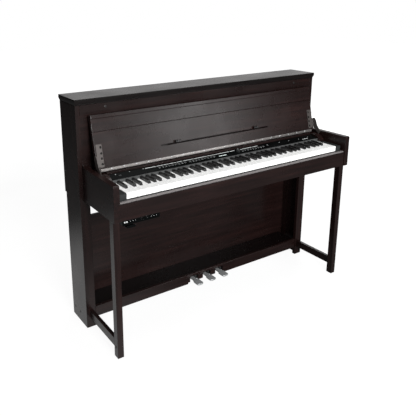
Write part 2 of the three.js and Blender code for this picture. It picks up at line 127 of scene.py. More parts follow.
class Finish:
    """One material's nodes, measured in the part's own metres."""

    def __init__(self, name, **sockets):
        self.material = bpy.data.materials.new(name)
        self.material.use_nodes = True
        self.tree = self.material.node_tree
        self.shader = self.tree.nodes["Principled BSDF"]
        for socket, value in sockets.items():
            self.shader.inputs[SOCKET_NAMES[socket]].default_value = value
        self.place = self.tree.nodes.new("ShaderNodeTexCoord").outputs["Object"]

    def node(self, kind, **inputs):
        made = self.tree.nodes.new("ShaderNode" + kind)
        for name, value in inputs.items():
            socket = made.inputs[name.capitalize()]
            if isinstance(value, bpy.types.NodeSocket):
                self.tree.links.new(value, socket)
            else:
                socket.default_value = value
        return made

    def noise(self, size, stretch=(1, 1, 1), detail=4, roughness=0.5, distortion=0):
        """Noise whose features are about size metres across, longer along an axis with a big stretch."""
        scale = [1 / (size * s) for s in stretch]
        mapped = self.node("Mapping", vector=self.place, scale=scale).outputs["Vector"]
        return self.node("TexNoise", vector=mapped, scale=1, detail=detail, roughness=roughness,
                         distortion=distortion).outputs["Fac"]

    def ramp(self, factor, *stops):
        """A colour ramp through (position, web colour) stops."""
        made = self.node("ValToRGB", fac=factor)
        elements = made.color_ramp.elements
        while len(elements) < len(stops):
            elements.new(0.5)
        for element, (position, colour) in zip(elements, stops):
            element.position = position
            element.color = linear(colour)
        return made.outputs["Color"]

    def spread(self, factor, low, high, start=0.3, end=0.7):
        """Takes the factor from start..end to low..high."""
        made = self.node("MapRange", value=factor)
        for socket, value in (("From Min", start), ("From Max", end), ("To Min", low), ("To Max", high)):
            made.inputs[socket].default_value = value
        return made.outputs["Result"]

    def mix(self, factor, first, second, mode="MIX"):
        made = self.tree.nodes.new("ShaderNodeMix")
        made.data_type = "RGBA"
        made.blend_type = mode
        for socket, value in ((made.inputs[0], factor), (made.inputs[6], first), (made.inputs[7], second)):
            if isinstance(value, bpy.types.NodeSocket):
                self.tree.links.new(value, socket)
            else:
                socket.default_value = value
        return made.outputs[2]

    def colour(self, source):
        self.tree.links.new(source, self.shader.inputs["Base Color"])

    def rough(self, source):
        self.tree.links.new(source, self.shader.inputs["Roughness"])

    def bump(self, *layers):
        """Stacks (height, depth in metres) layers of relief."""
        normal = None
        for height, depth in layers:
            made = self.node("Bump", height=height, distance=depth, strength=1)
            if normal is not None:
                self.tree.links.new(normal, made.inputs["Normal"])
            normal = made.outputs["Normal"]
        self.tree.links.new(normal, self.shader.inputs["Normal"])


SOCKET_NAMES = {"specular": "Specular IOR Level", "metallic": "Metallic",
                "emission": "Emission Strength", "emission_color": "Emission Color"}
# How far a noise is stretched along and across the grain or the brushing.
GRAIN_ALONG = {"x": (1, 0.045, 0.045), "y": (0.045, 1, 0.045), "z": (0.045, 0.045, 1)}
BRUSHED_ALONG = {"x": (1, 0.02, 0.02), "y": (0.02, 1, 0.02)}
WOOD_SHADES = ("#130a09", "#1c100f", "#281816")
# A darker copy of the wood's shades: painted shade for faces that sit in shade or reflect dark surroundings.
SHADED_WOOD_SHADES = ("#080505", "#0d0808", "#130d0c")


def cabinet_wood(name, grain, shades=WOOD_SHADES, specular=0.4):
    """Satin dark brown laminate, with its printed grain and pores running along one axis."""
    finish = Finish(name, specular=specular)
    streaks = finish.noise(0.32, GRAIN_ALONG[grain], detail=7, roughness=0.62, distortion=0.25)
    clouds = finish.noise(0.35, detail=2)
    base = finish.ramp(streaks, *zip((0.3, 0.52, 0.74), shades))
    tint = finish.ramp(clouds, (0.3, "#d8cfcd"), (0.7, "#ffffff"))
    finish.colour(finish.mix(1.0, base, tint, "MULTIPLY"))
    pores = finish.noise(0.03, GRAIN_ALONG[grain], detail=3, roughness=0.7)
    haze = finish.noise(0.12, detail=3)
    finish.rough(finish.spread(haze, 0.25, 0.31))
    finish.bump((pores, 0.02 * MM), (finish.noise(0.6 * MM, detail=2), 0.006 * MM))
    return finish.material


def back_board():
    """Matt dark brown fibre board."""
    finish = Finish("back_board", specular=0.25)
    fibres = finish.noise(6 * MM, detail=6, roughness=0.7)
    finish.colour(finish.ramp(fibres, (0.3, "#15100f"), (0.7, "#231a18")))
    finish.rough(finish.spread(fibres, 0.62, 0.78))
    finish.bump((finish.noise(2 * MM, detail=5), 0.08 * MM))
    return finish.material


def white_key():
    """Polished key plastic, a little warmer in places, with faint finger marks in its gloss."""
    finish = Finish("white_key", specular=0.4)
    clouds = finish.noise(0.05, detail=3)
    finish.colour(finish.ramp(clouds, (0.3, "#f4f4f3"), (0.7, "#fcfcfb")))
    finish.rough(finish.spread(finish.noise(9 * MM, detail=4), 0.2, 0.32))
    finish.bump((finish.noise(1.5 * MM, (1, 6, 1), detail=2), 0.006 * MM))
    return finish.material


def black_key():
    """Satin black key plastic with a fine tooth, rubbed a little smoother here and there."""
    finish = Finish("black_key", specular=0.5)
    clouds = finish.noise(0.03, detail=3)
    finish.colour(finish.ramp(clouds, (0.3, "#0a0a0b"), (0.7, "#121213")))
    finish.rough(finish.spread(clouds, 0.26, 0.34))
    finish.bump((finish.noise(0.5 * MM, detail=2), 0.02 * MM))
    return finish.material


def panel_black():
    """Polished black moulding with dust-fine haze in its gloss."""
    finish = Finish("panel_black", specular=0.09)
    clouds = finish.noise(0.04, (3, 1, 1), detail=3)
    finish.colour(finish.ramp(clouds, (0.3, "#040505"), (0.7, "#090b0b")))
    finish.rough(finish.spread(clouds, 0.16, 0.26))
    finish.bump((finish.noise(2.5 * MM, detail=2), 0.01 * MM))
    return finish.material


def grey_plastic(name, dark, light):
    """Fine-textured grey moulding."""
    finish = Finish(name, specular=0.4)
    clouds = finish.noise(0.03, detail=4)
    finish.colour(finish.ramp(clouds, (0.3, dark), (0.7, light)))
    finish.rough(finish.spread(clouds, 0.42, 0.55))
    finish.bump((finish.noise(0.7 * MM, detail=2), 0.025 * MM))
    return finish.material


def brushed(name, dark, light, roughness, along, metallic):
    """Metal brushed along one axis, with drifting tone and fine scratches."""
    finish = Finish(name, metallic=metallic)
    lines = finish.noise(0.03, BRUSHED_ALONG[along], detail=5, roughness=0.7)
    finish.colour(finish.ramp(lines, (0.3, dark), (0.7, light)))
    finish.rough(finish.spread(finish.noise(0.02, detail=4), roughness - 0.06, roughness + 0.08))
    finish.bump((lines, 0.012 * MM), (finish.noise(8 * MM, detail=3), 0.03 * MM))
    return finish.material


def frame_steel():
    """Grey painted sheet metal with a slight orange-peel."""
    finish = Finish("frame_steel", specular=0.5)
    clouds = finish.noise(0.05, detail=4)
    finish.colour(finish.ramp(clouds, (0.3, "#6f7375"), (0.7, "#84888a")))
    finish.rough(finish.spread(clouds, 0.35, 0.5))
    finish.bump((finish.noise(1.2 * MM, detail=2), 0.03 * MM))
    return finish.material


def display_glass():
    """Pale backlit display, a little uneven in its tone, with a fine grain in its gloss."""
    finish = Finish("display", specular=0.5, emission=0.25)
    clouds = finish.noise(0.02, detail=2)
    tone = finish.ramp(clouds, (0.3, "#b9c4c2"), (0.7, "#d9e2df"))
    finish.colour(tone)
    finish.tree.links.new(tone, finish.shader.inputs["Emission Color"])
    grid = finish.noise(0.8 * MM, detail=1)
    finish.rough(finish.spread(grid, 0.1, 0.18))
    finish.bump((grid, 0.004 * MM))
    return finish.material


def circuit_board():
    """Green solder mask over tracks."""
    finish = Finish("circuit_board", specular=0.5)
    tracks = finish.tree.nodes.new("ShaderNodeTexBrick")
    finish.tree.links.new(finish.place, tracks.inputs["Vector"])
    tracks.inputs["Scale"].default_value = 60
    finish.colour(finish.mix(tracks.outputs["Fac"], linear("#0f4a2c"), linear("#1f6e43")))
    finish.rough(finish.spread(finish.noise(0.01), 0.3, 0.45))
    finish.bump((tracks.outputs["Fac"], 0.05 * MM))
    return finish.material


def speaker_cone():
    """Pressed black paper with fibres."""
    finish = Finish("speaker_cone", specular=0.3)
    fibres = finish.noise(2 * MM, (3, 1, 1), detail=5)
    finish.colour(finish.ramp(fibres, (0.3, "#0e0e0f"), (0.7, "#1d1d1e")))
    finish.rough(finish.spread(fibres, 0.6, 0.8))
    finish.bump((fibres, 0.1 * MM))
    return finish.material


def printed_mark():
    """Pale screen-printed ink with slightly uneven cover."""
    finish = Finish("printed_mark", specular=0.3)
    cover = finish.noise(1 * MM, detail=3)
    finish.colour(finish.ramp(cover, (0.3, "#c4c8c8"), (0.7, "#e6e9e8")))
    finish.rough(finish.spread(cover, 0.45, 0.6))
    finish.bump((cover, 0.01 * MM))
    return finish.material


def slip_felt_and_reflection():
    """Grey pressed felt, its fibres lying along the key slip; its light grey is also painted reflection of
    the white key fronts.
    """
    finish = Finish("slip_felt_and_reflection", specular=0.15)
    fibres = finish.noise(1.2 * MM, (4, 1, 1), detail=6, roughness=0.7)
    finish.colour(finish.ramp(fibres, (0.3, "#625e5e"), (0.7, "#7d7979")))
    finish.rough(finish.spread(fibres, 0.75, 0.9))
    finish.bump((fibres, 0.12 * MM))
    return finish.material


def cap_brown():
    """Soft brown plastic caps that cover the screws in the laminate."""
    finish = Finish("screw_cap_brown", specular=0.4)
    clouds = finish.noise(4 * MM, detail=3)
    finish.colour(finish.ramp(clouds, (0.3, "#0b0807"), (0.7, "#130e0d")))
    finish.rough(finish.spread(clouds, 0.4, 0.55))
    finish.bump((finish.noise(0.6 * MM, detail=2), 0.02 * MM))
    return finish.material


# Each finish with the record's material slot that it belongs to.
FINISHES = {f"wood_{axis}": (cabinet_wood(f"cabinet_wood_{axis}", axis), "cabinet_wood") for axis in "xyz"}
FINISHES |= {
    # The same wood in darker shades, as painted shade: the top board's edges and underside, the key slip's
    # top and the bottom shelf.
    "shaded_wood": (cabinet_wood("shaded_wood", "x", SHADED_WOOD_SHADES), "cabinet_wood"),
    # The music ledge uses the darker shades with little gloss: painted shade on the ledge.
    "ledge_shaded_wood": (cabinet_wood("ledge_shaded_wood", "x", SHADED_WOOD_SHADES, specular=0.06), "cabinet_wood"),
    "back_board": (back_board(), "back_board"),
    "white_key": (white_key(), "white_key"),
    "black_key": (black_key(), "black_key"),
    "panel_black": (panel_black(), "panel_black"),
    "grey_plastic": (grey_plastic("grey_plastic", "#1c1e1e", "#282a2a"), "grey_plastic"),
    "hinge_steel": (brushed("hinge_steel", "#423f3e", "#aeaaa8", 0.3, "x", 0.8), "hinge_steel"),
    # A darker, duller copy of the hinge steel for the brackets: its dark tone is painted shade.
    "bracket_shaded_steel": (brushed("bracket_shaded_steel", "#3c3735", "#544f4d", 0.45, "x", 0.4), "hinge_steel"),
    "dark_screw": (brushed("dark_screw", "#17181a", "#262729", 0.45, "x", 0.6), "hinge_steel"),
    "pedal_metal": (brushed("pedal_metal", "#a9acad", "#d0d2d3", 0.3, "y", 0.5), "pedal_metal"),
    "frame_steel": (frame_steel(), "frame_steel"),
    "display": (display_glass(), "display"),
    "circuit_board": (circuit_board(), "circuit_board"),
    "speaker_cone": (speaker_cone(), "speaker_cone"),
    "strip_plastic": (grey_plastic("strip_plastic", "#3a3b3b", "#494a4a"), "grey_plastic"),
    "printed_mark": (printed_mark(), "grey_plastic"),
    "cap_brown": (cap_brown(), "cabinet_wood"),
    # Felt on the key slip, its light grey partly painted reflection of the key fronts.
    "slip_felt_and_reflection": (slip_felt_and_reflection(), "cabinet_wood"),
}

# ---------------------------------------------------------------- building helpers


def finished_piece(name, bm, finish, body, stands_for=(), place=Matrix.Identity(4)):
    """Turns a bmesh into a piece that rides on a body and may stand for CAD nodes."""
    bmesh.ops.transform(bm, matrix=place, verts=bm.verts)
    bmesh.ops.recalc_face_normals(bm, faces=bm.faces)
    mesh = bpy.data.meshes.new(name)
    bm.to_mesh(mesh)
    bm.free()
    mesh.shade_smooth()
    mesh.set_sharp_from_angle(angle=math.radians(32))
    material, slot = FINISHES[finish]
    mesh.materials.append(material)
    piece = bpy.data.objects.new(name, mesh)
    bpy.context.scene.collection.objects.link(piece)
    flat_faces = piece.modifiers.new("flat_faces", "WEIGHTED_NORMAL")
    flat_faces.weight = 80
    flat_faces.keep_sharp = True
    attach(piece, body)
    if stands_for:
        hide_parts(*stands_for)
    return piece


def soften(bm, width, segments=2, edges=None):
    """Rounds the edges that turn by more than 25 degrees."""
    chosen = [edge for edge in (edges if edges is not None else bm.edges)
              if edge.is_manifold and edge.calc_face_angle() > math.radians(25)]
    bmesh.ops.bevel(bm, geom=chosen, offset=width, segments=segments, profile=0.5,
                    affect="EDGES", clamp_overlap=True)


def add_block(bm, low, high):
    """A block given by its lowest and highest corners. Returns its vertices."""
    low, high = Vector(low), Vector(high)
    size = high - low
    place = Matrix.Translation((low + high) / 2) @ Matrix.Diagonal((*size, 1))
    return bmesh.ops.create_cube(bm, size=1, matrix=place)["verts"]


def add_cylinder(bm, centre, axis, radius, length, sides=24, top_radius=None):
    """A closed cylinder or cone whose middle is centre and whose length runs along axis."""
    turn = Vector(axis).to_track_quat("Z", "Y").to_matrix().to_4x4()
    made = bmesh.ops.create_cone(bm, cap_ends=True, segments=sides, radius1=radius,
                                 radius2=radius if top_radius is None else top_radius,
                                 depth=length, matrix=Matrix.Translation(centre) @ turn)
    return made["verts"]


def add_prism(bm, outline, axis, start, end):
    """Pushes a closed outline along an axis: (y, z) points along x, or (x, y) points along z."""
    def corner(a, b, along):
        return (along, a, b) if axis == "x" else (a, b, along)
    face = bm.faces.new([bm.verts.new(corner(a, b, start)) for a, b in outline])
    pushed = bmesh.ops.extrude_face_region(bm, geom=[face])["geom"]
    moved = [item for item in pushed if isinstance(item, bmesh.types.BMVert)]
    shift = Vector((end - start, 0, 0)) if axis == "x" else Vector((0, 0, end - start))
    bmesh.ops.translate(bm, vec=shift, verts=moved)
    return list(face.verts) + moved


def add_ring(bm, centre, axis, radius, thickness, steps=32, sides=8):
    """A closed round ring of wire."""
    turn = Vector(axis).to_track_quat("Z", "Y").to_matrix().to_4x4()
    place = Matrix.Translation(centre) @ turn
    loops = []
    for i in range(steps):
        around = 2 * math.pi * i / steps
        loop = []
        for j in range(sides):
            tube = 2 * math.pi * j / sides
            out = radius + thickness * math.cos(tube)
            point = Vector((out * math.cos(around), out * math.sin(around), thickness * math.sin(tube)))
            loop.append(bm.verts.new(place @ point))
        loops.append(loop)
    for i in range(steps):
        ahead = loops[(i + 1) % steps]
        for j in range(sides):
            bm.faces.new((loops[i][j], ahead[j], ahead[(j + 1) % sides], loops[i][(j + 1) % sides]))


def add_dome(bm, centre, axis, radius, height, sides=20, rings=4):
    """A low dome with a flat foot, such as a screw's head or a cap."""
    turn = Vector(axis).to_track_quat("Z", "Y").to_matrix().to_4x4()
    place = Matrix.Translation(centre) @ turn
    foot = [bm.verts.new(place @ Vector((radius * math.cos(a), radius * math.sin(a), 0)))
            for a in (2 * math.pi * i / sides for i in range(sides))]
    bm.faces.new(foot)
    below = foot
    for ring in range(1, rings):
        rise = math.sin(ring / rings * math.pi / 2) * height
        reach = math.cos(ring / rings * math.pi / 2) ** 0.6 * radius
        above = [bm.verts.new(place @ Vector((reach * math.cos(a), reach * math.sin(a), rise)))
                 for a in (2 * math.pi * i / sides for i in range(sides))]
        for i in range(sides):
            bm.faces.new((below[i], below[(i + 1) % sides], above[(i + 1) % sides], above[i]))
        below = above
    bm.faces.new(below)


def body_of(node):
    return nodes[node]["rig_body"]


def rounded(node, finish, width, segments=2):
    """A copy of a CAD node with its edges rounded, which stands for the node."""
    bm = bmesh.new()
    bm.from_mesh(nodes[node].data)
    bmesh.ops.remove_doubles(bm, verts=bm.verts, dist=0.005 * MM)
    bmesh.ops.dissolve_limit(bm, angle_limit=math.radians(1), verts=bm.verts, edges=bm.edges)
    soften(bm, width, segments)
    return finished_piece(f"{node}_finished", bm, finish, body_of(node), [node])


def paint(piece, finish, chosen):
    """Gives another finish to the faces whose centre and normal pass the test."""
    piece.data.materials.append(FINISHES[finish][0])
    for face in piece.data.polygons:
        if chosen(face.center, face.normal):
            face.material_index = len(piece.data.materials) - 1


def screws(name, body, finish, places, axis, radius, height, place=Matrix.Identity(4)):
    """Crosshead screws, each a low dome with its cross laid into it."""
    bm = bmesh.new()
    cross = bmesh.new()
    towards = Vector(axis).normalized()
    turn = towards.to_track_quat("Z", "Y").to_matrix().to_4x4()
    for centre in places:
        add_dome(bm, centre, axis, radius, height)
        for long_side, short_side in ((0.55, 0.13), (0.13, 0.55)):
            half = Vector((radius * long_side, radius * short_side, height * 0.06))
            arm = add_block(cross, -half, half)
            top = Matrix.Translation(Vector(centre) + towards * height) @ turn
            bmesh.ops.transform(cross, matrix=top, verts=arm)
    finished_piece(name, bm, finish, body, place=place)
    finished_piece(f"{name}_crosses", cross, "black_key", body, place=place)


# ---------------------------------------------------------------- wooden boards

# Every board with its grain's direction and the radius of its edges.
BOARDS = {
    "top_board": ("wood_x", 1.2), "upper_front_rail": ("wood_x", 0.8), "upper_front_panel": ("wood_x", 0.5),
    "modesty_panel": ("wood_x", 0.8), "bottom_rail": ("wood_x", 3.5), "key_slip": ("wood_x", 1.2),
    "lid_rail": ("wood_x", 0.8), "lid_board": ("wood_x", 1.2), "lid_flap": ("wood_x", 1.6),
    # The music ledge and the bottom shelf take the darker wood as painted shade.
    "music_ledge": ("ledge_shaded_wood", 1.4), "bottom_shelf": ("shaded_wood", 0.8),
}
for side_name, _ in SIDES:
    BOARDS |= {
        f"{side_name}_upper_side": ("wood_z", 1.0), f"{side_name}_lower_side": ("wood_z", 1.0),
        f"{side_name}_front_leg": ("wood_z", 1.4), f"{side_name}_stretcher": ("wood_y", 1.0),
        f"{side_name}_arm": ("wood_y", 1.8), f"{side_name}_cheek": ("wood_y", 1.6),
    }


def dress_boards():
    boards = {node: rounded(node, finish, radius * MM) for node, (finish, radius) in BOARDS.items()}
    # Painted shade: the top board's front edge, ends and underside, and the key slip's top, take the darker
    # wood.
    paint(boards["top_board"], "shaded_wood", lambda centre, normal: normal.z < 0.5)
    paint(boards["key_slip"], "shaded_wood", lambda centre, normal: normal.z > 0.9)
    rounded("upper_back_panel", "back_board", 0.6 * MM)
    rounded("key_bed", "back_board", 0.8 * MM)


# ---------------------------------------------------------------- keys

KEY_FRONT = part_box("white_keys")[0].y
KEY_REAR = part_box("key_c4")[1].y
KEY_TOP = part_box("key_c4")[1].z
KEY_SIDE = 18 * MM                   # the height of a key's sides
LIP_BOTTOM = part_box("key_c4")[0].z
LIP_INSET, LIP_REAR = 1 * MM, 6 * MM    # behind the front of a white key's top
NOTCH_GAP, NOTCH_LEAD = 0.9 * MM, 1.5 * MM    # clear of a black key's side and of its front
BLACK_FRONT, BLACK_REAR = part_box("key_c_sharp4")[0].y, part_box("key_c_sharp4")[1].y
BLACK_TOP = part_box("key_c_sharp4")[1].z
STRIP_DEPTH = 6.7 * MM               # the strip behind the keys, with the gap in front of it
BLACK_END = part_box("keyboard_surround")[1].y - STRIP_DEPTH
BLACK_TAPER = 0.18                   # how much narrower a black key is at its top
NOSE_RUN, NOSE_DROP = 7 * MM, 3 * MM    # the slope at a black key's front, and the drop of its round top


def key_table():
    """Every key as (note, is black, x of its centre), from the lowest A to the highest C."""
    keys = []
    whites = 0
    for note in range(FIRST_NOTE, LAST_NOTE + 1):
        edge = (whites - WHITE_COUNT / 2) * WHITE_PITCH
        step = note % 12
        if step in BLACK_OFFSETS:
            keys.append((note, True, edge + BLACK_OFFSETS[step]))
        else:
            keys.append((note, False, edge + WHITE_PITCH / 2))
            whites += 1
    return keys


def add_white_key(bm, x, black_centres):
    """A top plate notched beside its black keys, whose front overhangs a lip by a millimetre."""
    left, right = x - (WHITE_PITCH - KEY_GAP) / 2, x + (WHITE_PITCH - KEY_GAP) / 2
    reach = BLACK_WIDTH / 2 + NOTCH_GAP
    notch = BLACK_FRONT - NOTCH_LEAD
    inner_left = max([left] + [b + reach for b in black_centres if left - reach < b < x])
    inner_right = min([right] + [b - reach for b in black_centres if x < b < right + reach])
    outline = [(left, KEY_FRONT), (right, KEY_FRONT)]
    if inner_right < right:
        outline += [(right, notch), (inner_right, notch)]
    outline += [(inner_right, KEY_REAR), (inner_left, KEY_REAR)]
    if inner_left > left:
        outline += [(inner_left, notch), (left, notch)]
    add_prism(bm, outline, "z", KEY_TOP - KEY_SIDE, KEY_TOP)
    add_block(bm, (left, KEY_FRONT + LIP_INSET, LIP_BOTTOM),
              (right, KEY_FRONT + LIP_REAR, KEY_TOP - KEY_SIDE + 0.2 * MM))


def add_black_key(bm, x):
    """A black key narrows towards its top and has a sloping, rounded front."""
    shoulder = KEY_TOP - 1 * MM
    outline = [
        (BLACK_FRONT, KEY_TOP - KEY_SIDE), (BLACK_REAR, KEY_TOP - KEY_SIDE), (BLACK_REAR, shoulder),
        (BLACK_END, shoulder), (BLACK_END, BLACK_TOP), (BLACK_FRONT + NOSE_RUN, BLACK_TOP),
        (BLACK_FRONT + NOSE_DROP, BLACK_TOP - NOSE_DROP), (BLACK_FRONT, shoulder),
    ]
    made = add_prism(bm, outline, "x", x - BLACK_WIDTH / 2, x + BLACK_WIDTH / 2)
    for vertex in made:
        share = max(0, (vertex.co.z - shoulder) / (BLACK_TOP - shoulder))
        vertex.co.x = x + (vertex.co.x - x) * (1 - BLACK_TAPER * share)


def dress_keys():
    keys = key_table()
    black_centres = [x for _, black, x in keys if black]
    groups = {}
    for note, black, x in keys:
        single = FIRST_SINGLE <= note <= LAST_SINGLE
        node = f"key_{NOTE_NAMES[note % 12]}4" if single else ("black_keys" if black else "white_keys")
        groups.setdefault((node, black), []).append(x)
    for (node, black), centres in groups.items():
        bm = bmesh.new()
        for x in centres:
            if black:
                add_black_key(bm, x)
            else:
                add_white_key(bm, x, black_centres)
        soften(bm, 1.1 * MM if black else 0.8 * MM, segments=3)
        finished_piece(f"{node}_finished", bm, "black_key" if black else "white_key", body_of(node), [node])
    surround = rounded("keyboard_surround", "grey_plastic", 0.12 * MM)
    strip_half = WHITE_COUNT / 2 * WHITE_PITCH
    paint(surround, "strip_plastic", lambda centre, normal: abs(centre.x) < strip_half)
    rounded("key_frame", "frame_steel", 0.4 * MM)


# The size of the felt strip that carries the painted reflection of the key fronts.
FELT_DEPTH, FELT_HEIGHT = 16 * MM, 5 * MM


def dress_slip_felt_and_reflection():
    """A felt strip along the top of the key slip, right in front of the keys, whose light grey stands in for
    the key fronts' reflection there.
    """
    low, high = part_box("key_slip")
    bm = bmesh.new()
    add_block(bm, (low.x + 1 * MM, high.y - FELT_DEPTH, high.z - 0.2 * MM),
              (high.x - 1 * MM, high.y - 0.3 * MM, high.z + FELT_HEIGHT))
    soften(bm, 1.2 * MM)
    finished_piece("key_slip_felt_and_reflection", bm, "slip_felt_and_reflection", "cabinet")


# ---------------------------------------------------------------- lid fittings

HINGE_HALF = 631 * MM
KNUCKLE_RADIUS = 2.8 * MM
KNUCKLE_PITCH = 12.62 * MM
KNUCKLE_GAP = 1.4 * MM
LEAF_HEIGHT = 10.8 * MM
LEAF_BACK, LEAF_FRONT = -0.3 * MM, -1.8 * MM
LEAF_SCREW_COUNT, LEAF_SCREW_PITCH, LEAF_SCREW_HEIGHT = 20, 61 * MM, 7 * MM
BRACKET_SCREW_X, BRACKET_FACE = 619 * MM, -2.3 * MM
BRACKET_SCREW_HEIGHTS = (103, 77, 55, 31)    # millimetres above the lid's axis
CLIP_X, CLIP_HALF_WIDTH = 235 * MM, 13 * MM
# The clip's section seen from its end, in millimetres: a flat strip and its rolled lip.
CLIP_SECTION = ((-12, 68.9), (-10.5, 68.9), (-10.5, 75.5), (-11.1, 77.5), (-12.6, 78.5), (-14, 77.9),
                (-13.4, 76.9), (-12.6, 77.1), (-12, 76.1))
STUD_PITCH, STUD_HEIGHT = 9 * MM, 72.5 * MM


def dress_hinge():
    """A continuous hinge: a row of rolled knuckles and a leaf that is screwed to the lid."""
    bm = bmesh.new()
    for i in range(round(2 * HINGE_HALF / KNUCKLE_PITCH)):
        middle = -HINGE_HALF + (i + 0.5) * KNUCKLE_PITCH
        add_cylinder(bm, (middle, 0, 0), (1, 0, 0), KNUCKLE_RADIUS, KNUCKLE_PITCH - KNUCKLE_GAP, 14)
    soften(bm, 0.3 * MM, 1)
    leaf = add_block(bm, (-HINGE_HALF, LEAF_FRONT, 1 * MM), (HINGE_HALF, LEAF_BACK, LEAF_HEIGHT))
    soften(bm, 0.25 * MM, 1, {edge for vertex in leaf for edge in vertex.link_edges})
    finished_piece("lid_hinge_finished", bm, "hinge_steel", "lid", ["lid_hinge"], LID_FRAME)
    places = [((i - (LEAF_SCREW_COUNT - 1) / 2) * LEAF_SCREW_PITCH, LEAF_FRONT, LEAF_SCREW_HEIGHT)
              for i in range(LEAF_SCREW_COUNT)]
    screws("lid_hinge_screws", "lid", "pedal_metal", places, (0, -1, 0), 3.3 * MM, 0.9 * MM, LID_FRAME)


def dress_brackets():
    """The plates at the lid's ends, each held by four screws; their darker, duller steel is painted shade.
    """
    for name, side in SIDES:
        rounded(f"{name}_lid_bracket", "bracket_shaded_steel", 0.5 * MM)
        places = [(side * BRACKET_SCREW_X, BRACKET_FACE, z * MM) for z in BRACKET_SCREW_HEIGHTS]
        screws(f"{name}_bracket_screws", "lid", "panel_black", places, (0, -1, 0), 5 * MM, 1.2 * MM,
               LID_FRAME)


def dress_clips():
    """Sprung page clips: a bent strip whose free end rolls forward, held by three studs."""
    for name, side in SIDES:
        centre = side * CLIP_X
        outline = [(y * MM, z * MM) for y, z in CLIP_SECTION]
        bm = bmesh.new()
        add_prism(bm, outline, "x", centre - CLIP_HALF_WIDTH, centre + CLIP_HALF_WIDTH)
        soften(bm, 0.3 * MM, 2)
        node = f"{name}_page_clip"
        finished_piece(f"{node}_finished", bm, "dark_screw", body_of(node), [node], LID_FRAME)
        studs = bmesh.new()
        for offset in (-STUD_PITCH, 0, STUD_PITCH):
            place = (centre + offset, CLIP_SECTION[0][0] * MM, STUD_HEIGHT)
            add_dome(studs, place, (0, -1, 0), 1.9 * MM, 1.5 * MM, 14)
        finished_piece(f"{node}_studs", studs, "hinge_steel", body_of(node), place=LID_FRAME)


# ---------------------------------------------------------------- control panel

POWER_X = -560 * MM
KNOB_PLACE = (86 * MM, 2 * MM)
BUTTON_COUNT, BUTTON_PITCH, BUTTON_STARTS = 9, 17 * MM, (-364 * MM, -200 * MM, 112 * MM)
BUTTON_SIZE = (11 * MM, 5 * MM)
DISPLAY_PLACE, DISPLAY_HALF = (-14 * MM, -6 * MM), (30 * MM, 6 * MM)
BUTTON_RISE = 1.4 * MM               # above the panel's face
BUTTON_FOOT, PAD_FOOT = -3.7 * MM, -5.2 * MM     # below the panel's middle
PAD_MARGIN, PAD_HALF = 8 * MM, 6 * MM
POWER_HALF, POWER_FOOT, POWER_TOP = (6 * MM, 4 * MM), -3.4 * MM, 3.6 * MM
READOUTS = ((-22, -2), (1, 22))      # where each readout starts and ends beside the bezel's middle
KNOB_RADIUS, KNOB_HEIGHT, KNOB_FLUTES = 11 * MM, 10 * MM, 30
# Where the long printed rule is broken, and where its lamps are, in millimetres.
RULE_STOPS = (-432, -375, -337, -307, -266, -232, -169, -94, -29, 40, 74, 101, 182, 221)
RULE_LOW, RULE_HIGH = 11 * MM, 13.4 * MM
PLAIN_BAR = ((516 * MM, -9 * MM), (559 * MM, -6.6 * MM))
LAMPS = ((-576, 13), (-508, 13), (-440, 13), (279, 4), (363, 4), (430, 3), (498, 1), (567, 1))


def dress_panel():
    rounded("control_panel", "panel_black", 0.4 * MM)
    dress_display()
    dress_buttons()
    dress_knob()
    dress_marks()


def dress_display():
    """A black bezel with two pale readouts set into it."""
    x, y = DISPLAY_PLACE
    half_x, half_y = DISPLAY_HALF
    bm = bmesh.new()
    add_block(bm, (x - half_x, y - half_y, -PANEL_FACE), (x + half_x, y + half_y, PANEL_FACE))
    soften(bm, 0.5 * MM, 2)
    finished_piece("display_bezel", bm, "panel_black", "cabinet", place=PANEL_FRAME)
    lit = bmesh.new()
    for low, high in READOUTS:
        add_block(lit, (x + low * MM, y - 3.4 * MM, PANEL_FACE - 0.5 * MM),
                  (x + high * MM, y + 1.4 * MM, PANEL_FACE + 0.15 * MM))
    soften(lit, 0.1 * MM, 1)
    finished_piece("display_lit_area", lit, "display", "cabinet", ["display_window"], PANEL_FRAME)


def dress_buttons():
    """Three rows of buttons, each row on its rubber pad, and the round-cornered power button."""
    bm = bmesh.new()
    half_x, half_y = BUTTON_SIZE[0] / 2, BUTTON_SIZE[1] / 2
    for start in BUTTON_STARTS:
        for i in range(BUTTON_COUNT):
            x = start + i * BUTTON_PITCH
            add_block(bm, (x - half_x, -half_y, BUTTON_FOOT), (x + half_x, half_y, PANEL_FACE + BUTTON_RISE))
        end = start + BUTTON_PITCH * (BUTTON_COUNT - 1)
        add_block(bm, (start - PAD_MARGIN, -PAD_HALF, PAD_FOOT), (end + PAD_MARGIN, PAD_HALF, BUTTON_FOOT))
    soften(bm, 0.6 * MM, 2)
    finished_piece("panel_buttons_finished", bm, "strip_plastic", "panel_buttons", ["panel_buttons"],
                   PANEL_FRAME)
    power = bmesh.new()
    half_x, half_y = POWER_HALF
    add_block(power, (POWER_X - half_x, -half_y, POWER_FOOT), (POWER_X + half_x, half_y, POWER_TOP))
    soften(power, 0.9 * MM, 3)
    finished_piece("power_button_finished", power, "grey_plastic", "power_button", ["power_button"],
                   PANEL_FRAME)


